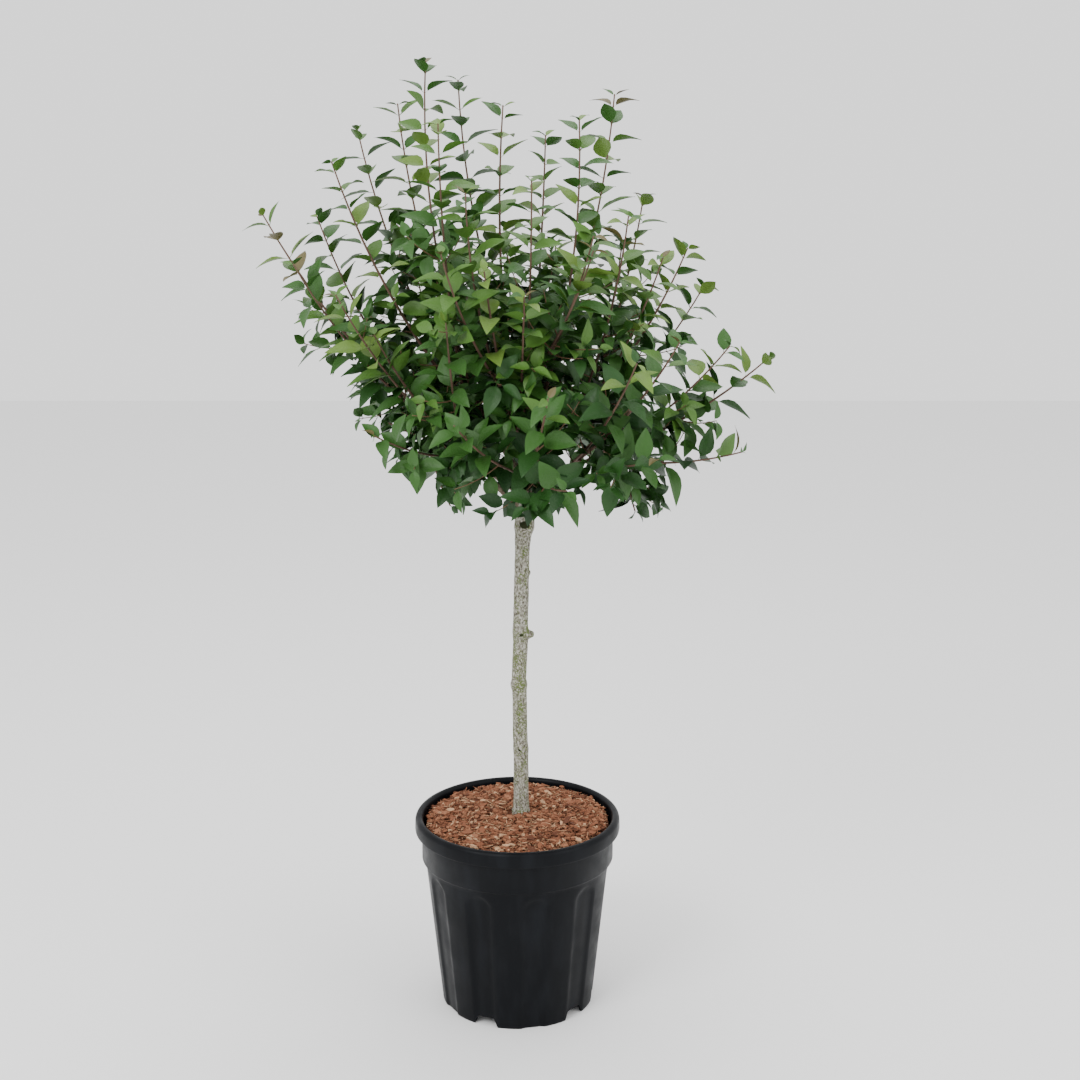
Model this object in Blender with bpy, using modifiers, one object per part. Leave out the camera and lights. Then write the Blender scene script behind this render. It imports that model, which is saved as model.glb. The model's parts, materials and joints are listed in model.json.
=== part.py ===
"""A lilac standard: an airy crown of long shoots, grafted on a bare stem, in a black fluted nursery pot.

Metres, +Z up. The origin is the middle of the pot's underside, +X is the plant's right and -Y its front.
"""

import math
import random

import bmesh
import bpy
from mathutils import Matrix, Vector, geometry
from mathutils.bvhtree import BVHTree

GAP = 0.0003
UP = Vector((0, 0, 1))
SEED = 41

# Pot: a turned shell with a folded rim, shallow flutes down its side, and a notched foot.
POT_HEIGHT = 0.323
POT_STEPS = 50
RIM_RADIUS = 0.1675
RIM_DROP = 0.0245
RIM_CURVE = 0.008
RIM_WALL = 0.0025
COLLAR_RADIUS = 0.157
COLLAR_BOTTOM = 0.250
INNER_STEP = (0.244, 0.252)
BODY_TOP_RADIUS = 0.1515
FOOT_RADIUS = 0.1255
BODY_WALL = 0.0045
FLOOR_HEIGHT = 0.016
FLOOR_THICKNESS = 0.003
PAD_RADIUS = 0.026
FLUTES = 10
FLUTE_START = math.radians(-78)
FLUTE_HALF_ANGLE = math.radians(9)
FLUTE_DEPTH = 0.003
FLUTE_TOP = 0.241
FLUTE_ARCH = 0.016
FLUTE_FADE = 0.012
NOTCHES = 5
NOTCH_START = math.radians(-114)
NOTCH_WIDTH = 0.045
NOTCH_HEIGHT = 0.015
NOTCH_TAPER = 0.62
DRAIN_RADIUS = 0.007
DRAIN_CIRCLE = 0.085

# Soil: the root ball, domed a little under its bark mulch, with a level seat for the trunk.
SOIL_STEPS = 30
SOIL_EDGE_DEPTH = 0.011
SOIL_DOME = 0.014
SOIL_RINGS = 4
SOIL_ROUGHNESS = 0.002
SEAT_RADIUS = 0.022
GROUND = POT_HEIGHT - SOIL_EDGE_DEPTH + SOIL_DOME

# Trunk: height above the floor, sideways place and radius at each station, from the soil to its tip.
TRUNK_STATIONS = (
    (GROUND + GAP, 0.006, 0.0150),
    (0.336, 0.006, 0.0132),
    (0.352, 0.006, 0.0121),
    (0.420, 0.006, 0.0119),
    (0.435, 0.006, 0.0126),
    (0.450, 0.005, 0.0117),
    (0.533, 0.004, 0.0115),
    (0.545, 0.003, 0.0129),
    (0.557, 0.003, 0.0117),
    (0.616, 0.006, 0.0120),
    (0.632, 0.006, 0.0132),
    (0.648, 0.006, 0.0119),
    (0.770, 0.009, 0.0116),
    (0.790, 0.010, 0.0128),
    (0.806, 0.012, 0.0160),
    (0.822, 0.013, 0.0152),
    (0.838, 0.014, 0.0118),
    (0.870, 0.013, 0.0092),
    (0.902, 0.012, 0.0062),
)
TRUNK_BEVEL = 3
# Knots on the trunk: height, bearing in degrees, how far its middle is from the axis, radius, length.
TRUNK_KNOTS = (
    (0.629, 0, 0.0110, 0.0052, 0.0095),
    (0.631, -88, 0.0075, 0.0070, 0.0060),
    (0.731, 5, 0.0085, 0.0042, 0.0050),
    (0.436, -110, 0.0080, 0.0050, 0.0055),
    (0.810, -92, 0.0100, 0.0085, 0.0085),
)
KNOT_RISE = 12

# Crown: every mass keeps to the directions from HEAD that are nearer to its own axis than to another's.
HEAD = Vector((0.012, 0, 0.845))
# Bearing of each mass (0 = right, -90 = front), its rise from level, and the height of its bough's root.
MASSES = {
    "left": (178, 44, 0.836),
    "right": (-2, 36, 0.828),
    "front": (-88, 34, 0.832),
    "back": (92, 38, 0.838),
    "front_left": (-136, 40, 0.858),
    "front_right": (-42, 38, 0.856),
    "back_left": (136, 42, 0.852),
    "back_right": (46, 42, 0.862),
    "top_left": (176, 68, 0.882),
    "top_right": (2, 64, 0.878),
    "top_front": (-92, 66, 0.884),
    "top_back": (88, 66, 0.880),
    "top": (0, 90, 0.902),
}
BOUGH_REACH = 0.100
BOUGH_RADII = (0.0058, 0.0036)
BOUGH_BEVEL = 1
BOUGH_STEPS = 4
BOUGH_FLATTER = 14
# Tips of the long shoots that give the crown its outline, from left to right.
SHOOT_TIPS = (
    (-0.382, 0.00, 1.291),
    (-0.325, -0.10, 1.226),
    (-0.315, 0.12, 1.281),
    (-0.255, -0.18, 1.190),
    (-0.274, -0.02, 1.371),
    (-0.250, 0.14, 1.414),
    (-0.230, 0.06, 1.020),
    (-0.198, 0.00, 0.972),
    (-0.183, 0.10, 1.454),
    (-0.134, 0.02, 1.516),
    (-0.110, -0.10, 1.427),
    (-0.105, 0.02, 0.835),
    (-0.102, -0.22, 1.251),
    (-0.092, 0.16, 1.490),
    (-0.042, -0.20, 1.226),
    (-0.019, 0.04, 1.452),
    (0.025, -0.14, 1.348),
    (0.046, 0.22, 1.404),
    (0.095, -0.03, 1.432),
    (0.113, -0.18, 1.273),
    (0.152, 0.10, 1.468),
    (0.185, -0.03, 0.838),
    (0.201, 0.14, 1.310),
    (0.218, 0.00, 0.852),
    (0.219, -0.08, 1.235),
    (0.238, -0.18, 1.122),
    (0.266, 0.06, 1.236),
    (0.303, 0.18, 1.164),
    (0.324, -0.05, 1.099),
    (0.344, -0.08, 0.942),
    (0.391, 0.00, 1.075),
)
# The other shoots fan out to the front and the back, by the golden angle, as far as the crown reaches.
FILL_SHOOTS = 24
FILL_HALF_ANGLE = 58
FILL_RISE = (12, 74)
LOW_REACH = 0.29
TOP_REACH = 0.54
FILL_REACHES = (0.86, 1.0)
GOLDEN = 0.618034
SHOOT_BOW = 0.055
SHOOT_STEPS = 3
SHOOT_RADII = (0.0026, 0.0011)
STEM_RADII = (0.0032, 0.0011)
STEM_FOOT = 0.004
FORK_SPACING = 0.022
TWIG_RADII = (0.0017, 0.0010)
TWIG_SPACING = 0.120
TWIG_ZONE = (0.02, 0.50)
TWIG_LENGTH = (0.050, 0.090)
TWIG_ANGLES = (78, 40)

# Leaves: kite-shaped, folded a little along the middle, in opposite pairs.
LEAF_WIDTH = 0.56
LEAF_WIDEST = 0.42
LEAF_THICKNESS = 0.045
LEAF_FOLD = 0.07
LEAF_ROOT = 0.0003
BLADE_INSET = 0.12
SHOOT_LEAF = 0.058
TIP_LEAF = 0.030
TWIG_LEAF = 0.078
PAIR_SPACING = 0.088
PAIR_START = 0.40
LEAF_ANGLE = 58
LEAF_SPREAD = 12
LIMB_CLEAR = 0.0015
# No leaf hangs below the crown's underside, which rises to the front and the back.
UNDERSIDE = 0.812
UNDERSIDE_SLOPE = 0.2
# It also rises outward: where that starts on the left and on the right, and how steeply.
UNDERSIDE_LEFT = (-0.10, 1.0)
UNDERSIDE_RIGHT = (0.22, 0.9)
# A leaf or twig that doesn't fit is tried again a few times, a leaf turned on and made smaller.
TRIES = 4
TRY_TURN = 0.8
TRY_SIZE = 0.86


def clear_scene():
    for item in list(bpy.data.objects):
        bpy.data.objects.remove(item)


def new_collection(name, parent=None):
    collection = bpy.data.collections.new(name)
    (parent or bpy.context.scene.collection).children.link(collection)
    return collection


def finish(item, colour, roughness):
    """Gives an object its own material, named for it."""
    material = bpy.data.materials.new(item.name)
    material.use_nodes = True
    shader = material.node_tree.nodes["Principled BSDF"]
    shader.inputs["Base Color"].default_value = (*colour, 1)
    shader.inputs["Roughness"].default_value = roughness
    shader.inputs["Metallic"].default_value = 0
    item.data.materials.clear()
    item.data.materials.append(material)


def place(name, data, collection):
    item = bpy.data.objects.new(name, data)
    collection.objects.link(item)
    return item


def evaluated_meshes(items):
    graph = bpy.context.evaluated_depsgraph_get()
    return [bpy.data.meshes.new_from_object(item.evaluated_get(graph)) for item in items]


def apply_modifiers(item):
    item.data = evaluated_meshes([item])[0]
    item.modifiers.clear()


def place_shape(name, body, collection):
    """An object from a bmesh."""
    mesh = bpy.data.meshes.new(name)
    body.to_mesh(mesh)
    body.free()
    return place(name, mesh, collection)


def cutter(item):
    item.hide_render = True
    item.display_type = "WIRE"
    return item


def smooth(item, degrees=35):
    item.data.shade_smooth()
    item.data.set_sharp_from_angle(angle=math.radians(degrees))


def blend(ends, t):
    return ends[0] + (ends[1] - ends[0]) * t


def direction(bearing, rise):
    level = math.cos(math.radians(rise))
    side = math.radians(bearing)
    return Vector((math.cos(side) * level, math.sin(side) * level, math.sin(math.radians(rise))))


def turned(name, profile, steps, collection):
    """A profile turned about Z, from its first point on the axis to its last."""
    mesh = bpy.data.meshes.new(name)
    points = [(radius, 0, height) for radius, height in profile]
    mesh.from_pydata(points, [(k, k + 1) for k in range(len(points) - 1)], [])
    item = place(name, mesh, collection)
    screw = item.modifiers.new("turn", "SCREW")
    screw.steps = steps
    screw.render_steps = steps
    screw.use_merge_vertices = True
    screw.merge_threshold = 0.00001
    apply_modifiers(item)
    return item


def arc(centre, radii, start, end, count):
    """Points of an elliptic arc in a turned profile, angles in degrees from +X."""
    turns = [math.radians(start + (end - start) * k / count) for k in range(count + 1)]
    return [(centre[0] + radii[0] * math.cos(a), centre[1] + radii[1] * math.sin(a)) for a in turns]


def body_radius(height):
    """The outer radius of the pot's tapering body."""
    return blend((FOOT_RADIUS, BODY_TOP_RADIUS), height / COLLAR_BOTTOM)


def pot_profile():
    """From the middle of the inside, up the wall, over the folded rim and down to the underside."""
    lip = POT_HEIGHT - RIM_CURVE
    inner = COLLAR_RADIUS - RIM_WALL
    fold = RIM_RADIUS - RIM_WALL
    foot = FOOT_RADIUS - BODY_WALL
    flute_rows = (0, FLUTE_FADE / 2, FLUTE_FADE, FLUTE_FADE * 2)
    return [
        (0, FLOOR_HEIGHT + FLOOR_THICKNESS),
        (body_radius(FLOOR_HEIGHT) - BODY_WALL, FLOOR_HEIGHT + FLOOR_THICKNESS),
        (body_radius(COLLAR_BOTTOM) - BODY_WALL, INNER_STEP[0]),
        (inner, INNER_STEP[1]),
        *arc((inner + 0.005, lip), (0.005, RIM_CURVE), 180, 90, 2),
        *arc((RIM_RADIUS - 0.007, lip), (0.007, RIM_CURVE), 90, 0, 2),
        (RIM_RADIUS, POT_HEIGHT - RIM_DROP),
        (fold, POT_HEIGHT - RIM_DROP),
        (fold, lip - 0.001),
        (COLLAR_RADIUS + 0.003, POT_HEIGHT - RIM_WALL),
        (COLLAR_RADIUS, lip),
        (COLLAR_RADIUS, COLLAR_BOTTOM),
        (body_radius(COLLAR_BOTTOM), COLLAR_BOTTOM - 0.004),
        *[(body_radius(FLUTE_TOP - drop), FLUTE_TOP - drop) for drop in flute_rows],
        (FOOT_RADIUS, 0),
        (foot, 0),
        (foot, FLOOR_HEIGHT),
        (PAD_RADIUS + 0.002, FLOOR_HEIGHT),
        (PAD_RADIUS, 0),
        (0, 0),
    ]


def flute_depth(bearing, height):
    """How far the pot's side is pressed in: an arch-topped hollow every tenth of a turn."""
    turn = 2 * math.pi / FLUTES
    off = (bearing - FLUTE_START + turn / 2) % turn - turn / 2
    across = off / FLUTE_HALF_ANGLE
    below_arch = FLUTE_TOP - FLUTE_ARCH * across ** 2 - height
    if abs(across) >= 1 or below_arch <= 0:
        return 0.0
    return FLUTE_DEPTH * (1 - across ** 4) * min(1.0, below_arch / FLUTE_FADE)


def press_flutes(item):
    """Moves the outer side's points in along their radius; the inside stays plain."""
    for vertex in item.data.vertices:
        x, y, height = vertex.co
        radius = math.hypot(x, y)
        if abs(radius - body_radius(height)) < BODY_WALL / 2 and height < COLLAR_BOTTOM:
            share = 1 - flute_depth(math.atan2(y, x), height) / radius
            vertex.co = (x * share, y * share, height)


def notch_cutter(bearing, collection):
    """A wedge, wide at the floor, that goes through the foot's wall."""
    body = bmesh.new()
    side = math.sqrt(2)
    bmesh.ops.create_cone(body, cap_ends=True, segments=4, radius1=side / 2,
                          radius2=side / 2 * NOTCH_TAPER, depth=1)
    bmesh.ops.rotate(body, verts=body.verts, matrix=Matrix.Rotation(math.pi / 4, 3, "Z"))
    size = Matrix.Diagonal((BODY_WALL * 6, NOTCH_WIDTH, NOTCH_HEIGHT * 1.2, 1))
    shift = Matrix.Translation((FOOT_RADIUS - BODY_WALL / 2, 0, NOTCH_HEIGHT * 0.4))
    bmesh.ops.transform(body, verts=body.verts, matrix=Matrix.Rotation(bearing, 4, "Z") @ shift @ size)
    return cutter(place_shape("notch_cutter", body, collection))


def drain_cutter(bearing, collection):
    body = bmesh.new()
    bmesh.ops.create_cone(body, cap_ends=True, segments=10, radius1=DRAIN_RADIUS, radius2=DRAIN_RADIUS,
                          depth=FLOOR_THICKNESS * 3)
    spot = Vector((math.cos(bearing), math.sin(bearing), 0)) * DRAIN_CIRCLE
    bmesh.ops.translate(body, verts=body.verts, vec=spot + UP * (FLOOR_HEIGHT + FLOOR_THICKNESS / 2))
    return cutter(place_shape("drain_cutter", body, collection))


def make_pot(parts, cutters):
    pot = turned("pot", pot_profile(), POT_STEPS, parts)
    pot.data.transform(Matrix.Rotation(FLUTE_START, 4, "Z"))
    press_flutes(pot)
    tools = new_collection("pot_cutters", cutters)
    for k in range(NOTCHES):
        bearing = NOTCH_START + 2 * math.pi * k / NOTCHES
        notch_cutter(bearing, tools)
        drain_cutter(bearing, tools)
    cut = pot.modifiers.new("notches", "BOOLEAN")
    cut.operation = "DIFFERENCE"
    cut.operand_type = "COLLECTION"
    cut.collection = tools
    smooth(pot)
    finish(pot, (0.025, 0.028, 0.033), 0.38)


def make_soil(parts):
    """The root ball, clear of the pot all round, with a rough top round the trunk's seat."""
    clear = GAP * 3
    low = FLOOR_HEIGHT + FLOOR_THICKNESS + GAP
    edge = POT_HEIGHT - SOIL_EDGE_DEPTH
    wall = COLLAR_RADIUS - RIM_WALL - clear
    crest = wall - SOIL_EDGE_DEPTH / 2
    rings = [blend((SEAT_RADIUS, crest), k / SOIL_RINGS) for k in range(SOIL_RINGS + 1)]
    top = [(r, edge + SOIL_DOME * math.cos(math.pi / 2 * (r - SEAT_RADIUS) / wall) ** 0.8) for r in rings]
    soil = turned("soil", [
        (0, GROUND),
        *top,
        (wall, edge),
        (wall, INNER_STEP[1] + 2 * clear),
        (body_radius(COLLAR_BOTTOM) - BODY_WALL - clear, INNER_STEP[0] + 2 * clear),
        (body_radius(FLOOR_HEIGHT) - BODY_WALL - clear, low),
        (0, low),
    ], SOIL_STEPS, parts)
    chance = random.Random(SEED)
    for vertex in soil.data.vertices:
        if vertex.co.z > edge + 0.001 and vertex.co.xy.length > SEAT_RADIUS + 0.001:
            vertex.co.z += chance.uniform(-SOIL_ROUGHNESS, SOIL_ROUGHNESS)
    finish(soil, (0.20, 0.085, 0.045), 0.95)


def limb_guide(name, points, radii, collection, bevel=1, outline=None):
    """The curve of a tapering limb, round or with the outline of another curve."""
    curve = bpy.data.curves.new(name, "CURVE")
    curve.dimensions = "3D"
    curve.use_fill_caps = True
    if outline:
        curve.bevel_mode = "OBJECT"
        curve.bevel_object = outline
    else:
        curve.bevel_depth = 1.0
        curve.bevel_resolution = bevel
    spline = curve.splines.new("POLY")
    spline.points.add(len(points) - 1)
    for spot, point, radius in zip(spline.points, points, radii):
        spot.co = (*point, 1)
        spot.radius = radius
    return place(name, curve, collection)


def limbs_from(guides, collection):
    """Closed meshes in place of the limbs' curves, their caps welded on."""
    limbs = []
    for guide, mesh in zip(guides, evaluated_meshes(guides)):
        body = bmesh.new()
        body.from_mesh(mesh)
        bmesh.ops.remove_doubles(body, verts=body.verts, dist=0.00001)
        bmesh.ops.recalc_face_normals(body, faces=body.faces)
        name = guide.name
        bpy.data.objects.remove(guide)
        limbs.append(place_shape(name, body, collection))
    return limbs


def trunk_at(height):
    """The trunk's axis and radius at a height."""
    for (z0, x0, r0), (z1, x1, r1) in zip(TRUNK_STATIONS, TRUNK_STATIONS[1:]):
        if height <= z1:
            break
    t = min(max((height - z0) / (z1 - z0), 0), 1)
    return Vector((blend((x0, x1), t), 0, blend((z0, z1), t))), blend((r0, r1), t)


def trunk_tube(name, grown, collection):
    points = [(x, 0, z) for z, x, _ in TRUNK_STATIONS]
    radii = [radius + grown for _, _, radius in TRUNK_STATIONS]
    guide = limb_guide(name, points, radii, collection, TRUNK_BEVEL)
    return limbs_from([guide], collection)[0]


def make_knot(height, bearing, off, radius, length, collection):
    """A short egg-shaped stub that stands out of the trunk."""
    body = bmesh.new()
    bmesh.ops.create_uvsphere(body, u_segments=8, v_segments=6, radius=1)
    size = Matrix.Diagonal((radius, radius, length, 1))
    lean = direction(bearing, KNOT_RISE).to_track_quat("Z", "Y").to_matrix().to_4x4()
    spot = Matrix.Translation(trunk_at(height)[0] + direction(bearing, 0) * off)
    bmesh.ops.transform(body, verts=body.verts, matrix=spot @ lean @ size)
    place_shape("knot", body, collection)


def fuse(item, others, solver="EXACT"):
    """Joins the collection's objects into one closed body with this one, and removes them."""
    union = item.modifiers.new("fuse", "BOOLEAN")
    union.operation = "UNION"
    union.operand_type = "COLLECTION"
    union.collection = others
    union.solver = solver
    apply_modifiers(item)
    for piece in list(others.objects):
        bpy.data.objects.remove(piece)
    bpy.data.collections.remove(others)
    keep_main_shell(item.data)


def shell_with(vertex):
    """All the vertices joined to this one by edges."""
    shell = {vertex}
    queue = [vertex]
    while queue:
        here = queue.pop()
        for edge in here.link_edges:
            other = edge.other_vert(here)
            if other not in shell:
                shell.add(other)
                queue.append(other)
    return shell


def keep_main_shell(mesh):
    """Drops loose scraps and the shells of sealed hollows: all but the largest shell."""
    body = bmesh.new()
    body.from_mesh(mesh)
    left = set(body.verts)
    shells = []
    while left:
        shells.append(shell_with(next(iter(left))))
        left -= shells[-1]
    shells.sort(key=len)
    for shell in shells[:-1]:
        bmesh.ops.delete(body, geom=list(shell), context="VERTS")
    body.to_mesh(mesh)
    body.free()


def make_trunk(parts):
    trunk = trunk_tube("trunk", 0, parts)
    knots = new_collection("trunk_knots")
    for row in TRUNK_KNOTS:
        make_knot(*row, knots)
    fuse(trunk, knots)
    smooth(trunk, 50)
    finish(trunk, (0.42, 0.40, 0.34), 0.85)


def bough_path(name):
    """From inside the trunk out to the mass, leaving flatter than it ends."""
    bearing, rise, height = MASSES[name]
    root = trunk_at(height)[0]
    tip = HEAD + direction(bearing, rise) * BOUGH_REACH
    bend = root + direction(bearing, rise - BOUGH_FLATTER) * (tip - root).length / 2
    steps = [k / BOUGH_STEPS for k in range(BOUGH_STEPS + 1)]
    return [root * (1 - t) ** 2 + bend * 2 * t * (1 - t) + tip * t * t for t in steps]


def make_boughs(paths, radii, parts, cutters):
    """Each bough tapers from the trunk to its mass, its root cut clear of the trunk."""
    clearance = cutter(trunk_tube("trunk_clearance", GAP * 1.3, cutters))
    guides = [limb_guide("bough_" + name, path, radii, parts, BOUGH_BEVEL) for name, path in paths.items()]
    for bough in limbs_from(guides, parts):
        cut = bough.modifiers.new("seat", "BOOLEAN")
        cut.operation = "DIFFERENCE"
        cut.object = clearance
        smooth(bough, 50)
        finish(bough, (0.16, 0.13, 0.09), 0.85)


def axis_of(name):
    return direction(*MASSES[name][:2])


def nearest_mass(point):
    return max(MASSES, key=lambda name: (point - HEAD).dot(axis_of(name)))


def walls_of(name):
    """The planes through HEAD that keep a mass apart from the others, as unit vectors into its space."""
    own = axis_of(name)
    return [(own - axis_of(other)).normalized() for other in MASSES if other != name]


def clear_of_limbs(point, limbs, margin):
    for start, end, radius in limbs:
        near, t = geometry.intersect_point_line(point, start, end)
        near = start if t < 0 else end if t > 1 else near
        if (point - near).length < radius + margin:
            return False
    return True


def fill_tips():
    """Tips of the shoots that fill the crown's front and back, turn about and ever steeper."""
    chance = random.Random(SEED)
    tips = []
    for k in range(FILL_SHOOTS):
        across = 2 * ((k * GOLDEN) % 1) - 1
        bearing = (-90 if k % 2 else 90) + across * FILL_HALF_ANGLE
        rise = blend(FILL_RISE, (k + 0.5) / FILL_SHOOTS)
        reach = blend((LOW_REACH, TOP_REACH), math.sin(math.radians(rise)) ** 2)
        tips.append(HEAD + direction(bearing, rise) * reach * chance.uniform(*FILL_REACHES))
    return tips


def bowed(start, tip, steps):
    """Points of a shoot that leaves low and turns upward as it goes."""
    chord = tip - start
    along = chord.normalized()
    lift = (UP - along * along.z).normalized()
    spots = [k / steps for k in range(steps + 1)]
    return [start + chord * t - lift * (SHOOT_BOW * chord.length * 4 * t * (1 - t)) for t in spots]


def point_on(path, t):
    """The place and heading at a share t of a path's segments."""
    span = min(int(t * (len(path) - 1)), len(path) - 2)
    part = t * (len(path) - 1) - span
    step = path[span + 1] - path[span]
    return path[span] + step * part, step.normalized()


def side_way(heading, turn, angle):
    """A direction that leaves a twig's heading by an angle, on the side that the turn gives."""
    side = heading.orthogonal().normalized()
    side.rotate(Matrix.Rotation(turn, 3, heading))
    return heading * math.cos(math.radians(angle)) + side * math.sin(math.radians(angle))


def leaf_frame(root, along, facing, size):
    """A leaf's matrix: its length along its way out, its upper face as near to `facing` as may be."""
    side = facing.cross(along).normalized()
    turn = Matrix((along, side, along.cross(side))).transposed().to_4x4()
    return Matrix.Translation(root) @ turn @ Matrix.Scale(size, 4)


def leaf_shape():
    """A thick kite of eight faces and unit length, with its root at the origin."""
    body = bmesh.new()
    bmesh.ops.create_uvsphere(body, u_segments=4, v_segments=2, radius=1)
    for vertex in body.verts:
        x, y, z = vertex.co
        along = LEAF_WIDEST if abs(x) < 0.5 else (1 + x) / 2
        vertex.co = (along, y * LEAF_WIDTH / 2, z * LEAF_THICKNESS / 2 + abs(y) * LEAF_FOLD)
    mesh = bpy.data.meshes.new("leaf")
    body.to_mesh(mesh)
    body.free()
    return mesh


def leaf_samples(matrix):
    """Points spread over a leaf, which tell whether it fits."""
    middle = [(t, 0, 0) for t in (0.2, 0.7, 1.0)]
    faces = [(LEAF_WIDEST, 0, side * LEAF_THICKNESS / 2) for side in (-1, 1)]
    edges = [(LEAF_WIDEST + shift, side * LEAF_WIDTH / 2 * (1 - 2 * abs(shift)), LEAF_FOLD)
             for side in (-1, 1) for shift in (-0.2, 0, 0.25)]
    return [matrix @ Vector(spot) for spot in middle + faces + edges]


def underside(point):
    """The height below which no leaf hangs at a point."""
    left = max(0, UNDERSIDE_LEFT[0] - point.x) * UNDERSIDE_LEFT[1]
    right = max(0, point.x - UNDERSIDE_RIGHT[0]) * UNDERSIDE_RIGHT[1]
    return UNDERSIDE + UNDERSIDE_SLOPE * abs(point.y) + left + right


def blade_tree(leaf, matrix):
    """A leaf's faces, drawn in a little from its root, for finding what it crosses."""
    middle = matrix @ Vector((LEAF_WIDEST, 0, 0))
    corners = [(matrix @ vertex.co).lerp(middle, BLADE_INSET) for vertex in leaf.vertices]
    return BVHTree.FromPolygons(corners, [face.vertices for face in leaf.polygons])


def pierced(blade, path):
    """Whether a twig's path goes through a leaf."""
    return any(blade.ray_cast(a, b - a, (b - a).length)[0] for a, b in zip(path, path[1:]))


class Growth:
    """What one mass of foliage is grown into: its twigs' paths and its leaves' matrices."""

    def __init__(self, name, limbs, leaf):
        self.walls = walls_of(name)
        self.limbs = limbs
        self.leaf = leaf
        self.chance = random.Random(SEED + list(MASSES).index(name))
        self.twigs = []
        self.leaves = []
        self.blades = []

    def fits(self, points, radius):
        """Whether points keep to the mass's space and clear of trunk and boughs."""
        return all(
            point.z > underside(point)
            and all((point - HEAD).dot(wall) > radius + GAP for wall in self.walls)
            and clear_of_limbs(point, self.limbs, radius + LIMB_CLEAR)
            for point in points
        )

    def crosses(self, blade):
        """Whether a leaf goes through another leaf or a twig."""
        if any(blade.overlap(other) for other in self.blades):
            return True
        return any(pierced(blade, path) for path, _ in self.twigs)

    def add_leaf(self, spot, heading, turn, size):
        """One leaf with its root sunk in the twig, turned and made smaller until it fits, or skipped."""
        for attempt in range(TRIES):
            lean = LEAF_ANGLE + self.chance.uniform(-LEAF_SPREAD, LEAF_SPREAD)
            along = side_way(heading, turn + attempt * TRY_TURN, lean)
            facing = UP + heading * 0.6
            matrix = leaf_frame(spot - along * LEAF_ROOT, along, facing, size * TRY_SIZE ** attempt)
            blade = blade_tree(self.leaf, matrix)
            if self.fits(leaf_samples(matrix), 0) and not self.crosses(blade):
                self.leaves.append(matrix)
                self.blades.append(blade)
                return

    def add_pair(self, spot, heading, turn, size):
        for side in (0, math.pi):
            self.add_leaf(spot, heading, turn + side, size)

    def add_twig(self, spot, heading, angle):
        """A side twig with three leaves, if it fits."""
        for _ in range(TRIES):
            way = side_way(heading, self.chance.uniform(0, math.tau), angle)
            path = [spot, spot + way * self.chance.uniform(*TWIG_LENGTH)]
            crossed = any(pierced(blade, path) for blade in self.blades)
            if not crossed and self.fits([point_on(path, t)[0] for t in (0.3, 0.6, 1)], TWIG_RADII[0]):
                self.twigs.append((path, TWIG_RADII))
                turn = self.chance.uniform(0, math.pi)
                self.add_leaf(*point_on(path, 0.97), turn + math.pi / 2, TWIG_LEAF)
                self.add_pair(*point_on(path, 0.55), turn, TWIG_LEAF)
                return

    def dress_shoot(self, path):
        """Pairs of leaves on a shoot's upper part, and side twigs lower down, wider apart at its foot."""
        length = (path[-1] - path[0]).length
        turn = self.chance.uniform(0, math.pi)
        self.add_leaf(*point_on(path, 0.99), turn, TIP_LEAF)
        pairs = round((1 - PAIR_START) * length / PAIR_SPACING)
        for k in reversed(range(pairs)):
            t = blend((PAIR_START, 0.97), (k + 0.3) / pairs)
            size = blend((SHOOT_LEAF, TIP_LEAF), max(0.0, t * 3 - 2))
            self.add_pair(*point_on(path, t), turn + k * math.pi / 2, size)
        twigs = max(1, round((TWIG_ZONE[1] - TWIG_ZONE[0]) * length / TWIG_SPACING))
        for k in range(twigs):
            t = blend(TWIG_ZONE, (k + self.chance.random()) / twigs)
            self.add_twig(*point_on(path, t), blend(TWIG_ANGLES, t))


def three_sides(cutters):
    """The outline of every twig: a triangle in a circle of radius one."""
    curve = bpy.data.curves.new("three_sides", "CURVE")
    spline = curve.splines.new("POLY")
    spline.points.add(2)
    for k, spot in enumerate(spline.points):
        spot.co = (math.cos(k * math.tau / 3), math.sin(k * math.tau / 3), 0, 1)
    spline.use_cyclic_u = True
    return cutter(place("three_sides", curve, cutters))


def taper(radii, path):
    return [blend(radii, k / (len(path) - 1)) for k in range(len(path))]


def make_mass(name, tips, path, limbs, triangle, leaf, parts):
    """Grows one mass from the end of its bough or the trunk, and joins it into one body."""
    growth = Growth(name, limbs, leaf)
    heading = (path[-1] - path[-2]).normalized()
    foot = path[-1] + heading * GAP
    tips.sort(key=lambda tip: -(tip - HEAD).normalized().dot(axis_of(name)))
    main = [foot] + bowed(foot + heading * STEM_FOOT, tips[0], SHOOT_STEPS)
    growth.twigs.append((main, STEM_RADII))
    for k, tip in enumerate(tips[1:]):
        fork = point_on(main[1:], FORK_SPACING * (k + 0.5) / (tips[0] - foot).length)[0]
        growth.twigs.append((bowed(fork, tip, SHOOT_STEPS), SHOOT_RADII))
    for shoot, _ in list(growth.twigs):
        growth.dress_shoot(shoot)
    pieces = new_collection(name + "_pieces")
    guides = [
        limb_guide("twig", path, taper(radii, path), pieces, outline=triangle)
        for path, radii in growth.twigs
    ]
    stem = limbs_from(guides, pieces)[0]
    for matrix in growth.leaves:
        blade = leaf.copy()
        blade.transform(matrix)
        place("leaf", blade, pieces)
    pieces.objects.unlink(stem)
    parts.objects.link(stem)
    stem.name = "foliage_" + name
    fuse(stem, pieces, "MANIFOLD")
    finish(stem, (0.07, growth.chance.uniform(0.16, 0.22), 0.03), 0.55)


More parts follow.
